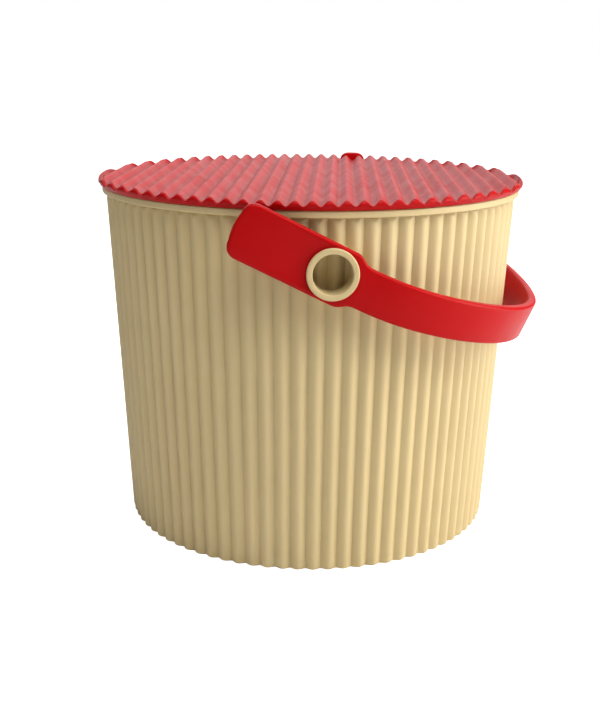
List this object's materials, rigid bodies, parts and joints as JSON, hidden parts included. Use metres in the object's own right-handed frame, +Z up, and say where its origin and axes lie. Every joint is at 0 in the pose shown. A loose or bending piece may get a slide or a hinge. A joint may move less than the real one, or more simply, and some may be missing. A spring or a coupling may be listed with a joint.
{
  "type": "lidded bucket",
  "caption": "Round bucket with ribbed tapered walls, a corrugated lift-off lid and a one-piece strap handle that swings on hollow pivot rings.",
  "frame": {"origin": "centre of the floor's flat underside, on the bucket's axis", "axes": "+Z up the bucket's axis, +Y along the handle's pivot line towards the rear pivot, +X towards the hanging bail"},
  "size_m": [0.2911, 0.2988, 0.2322],
  "materials": {
    "bucket_plastic": "satin moulded plastic, sand beige",
    "lid_plastic": "satin moulded plastic, red",
    "handle_plastic": "satin moulded plastic, red",
    "ring_plastic": "satin moulded plastic, sand beige"
  },
  "bodies": {
    "bucket": {"bucket_body": "bucket_plastic", "front_pivot_ring": "ring_plastic", "rear_pivot_ring": "ring_plastic"},
    "lid": {"lid": "lid_plastic"},
    "handle": {"handle": "handle_plastic"}
  },
  "joints": [
    {"name": "handle_swing", "type": "hinge", "parent": "bucket", "child": "handle", "pos_m": [0, 0, 0.191], "axis": [0, -1, 0], "range_deg": [0, 215]},
    {"name": "lid_lift", "type": "slide", "parent": "bucket", "child": "lid", "axis": [0, 0, 1], "range_m": [0, 0.15]}
  ]
}
